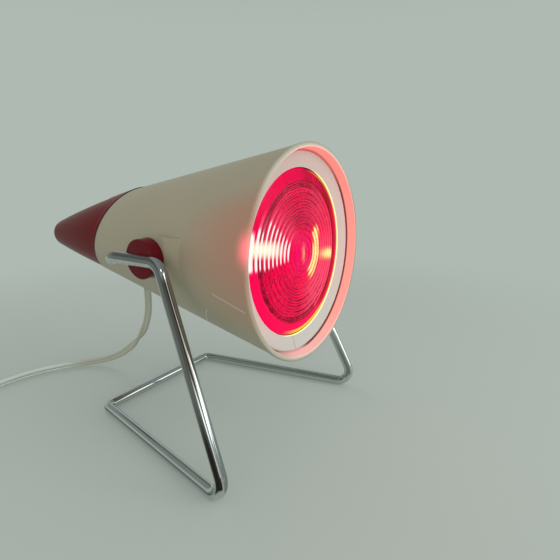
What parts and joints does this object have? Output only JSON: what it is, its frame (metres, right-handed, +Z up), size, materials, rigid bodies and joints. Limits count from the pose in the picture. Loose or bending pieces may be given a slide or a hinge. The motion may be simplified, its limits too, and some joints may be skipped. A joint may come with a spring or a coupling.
{
  "type": "infrared heat therapy lamp",
  "caption": "Table-top infrared heat lamp: cream cone housing with a red vented rear cap, ringed ruby reflector bulb, tilting between discs in a bent chrome wire stand, flat cord and plug.",
  "frame": {"origin": "on the table, under the middle of the lamp's box, without its cord", "axes": "+Z up; the lamp looks along -Y with its rear cap towards +Y; the tilt axis lies along X"},
  "size_m": [0.2979, 0.459, 0.2283],
  "materials": {
    "cream_housing": "moulded thermoplastic, semi-gloss",
    "red_cap": "moulded thermoplastic, glossy dark red",
    "red_disc": "moulded thermoplastic, glossy dark red",
    "ring_plastic": "moulded heat-proof plastic, pale grey",
    "ruby_glass": "pressed ruby glass, ringed and stippled inside",
    "silvered_glass": "blown glass, silvered inside",
    "bulb_aluminium": "drawn, plain",
    "bulb_brass": "drawn, plain",
    "black_glass": "vitrite, black",
    "tungsten": "drawn wire",
    "holder_ceramic": "glazed porcelain",
    "bracket_steel": "zinc-plated sheet",
    "screw_steel": "zinc-plated",
    "grommet_rubber": "soft moulded, cream",
    "cord_sheath": "smooth flat flexible sheath, off-white",
    "core_insulation": "smooth",
    "plug_plastic": "moulded, off-white",
    "pin_metal": "nickel-plated brass",
    "chrome_wire": "polished chrome plate on steel wire"
  },
  "bodies": {
    "stand": {"stand_wire": "chrome_wire", "pivot_disc_left": "red_disc", "pivot_screw_left": "screw_steel", "pivot_washer_left": "bracket_steel", "spring_washer_left": "bracket_steel", "pivot_disc_right": "red_disc", "pivot_screw_right": "screw_steel", "pivot_washer_right": "bracket_steel", "spring_washer_right": "bracket_steel", "cord_drop": "cord_sheath", "cord_floor": "cord_sheath", "cord_coil": "cord_sheath", "cord_tail": "cord_sheath", "plug_body": "plug_plastic", "plug_pins": "pin_metal"},
    "head": {"housing_cone": "cream_housing", "rear_cap": "red_cap", "cap_screw": "screw_steel", "heat_ring": "ring_plastic", "bulb_lens": "ruby_glass", "bulb_reflector": "silvered_glass", "bulb_skirt": "bulb_aluminium", "bulb_screw_cap": "bulb_brass", "bulb_insulator": "black_glass", "bulb_contact": "bulb_brass", "filament": "tungsten", "filament_supports": "tungsten", "lampholder_body": "holder_ceramic", "lampholder_shell": "bulb_brass", "lampholder_contact": "bulb_brass", "terminal_screws": "screw_steel", "lampholder_bracket": "bracket_steel", "lampholder_nipple": "bulb_brass", "nipple_nut": "bracket_steel", "cord_grommet": "grommet_rubber", "cord_inner": "cord_sheath", "cord_cores": "core_insulation", "cord_clamp": "bracket_steel", "clamp_screws": "screw_steel"}
  },
  "joints": [
    {"name": "head_tilt", "type": "hinge", "parent": "stand", "child": "head", "pos_m": [0, -0.069, 0.15], "axis": [1, 0, 0], "range_deg": [-35, 60], "deforming": ["cord_drop"]}
  ]
}
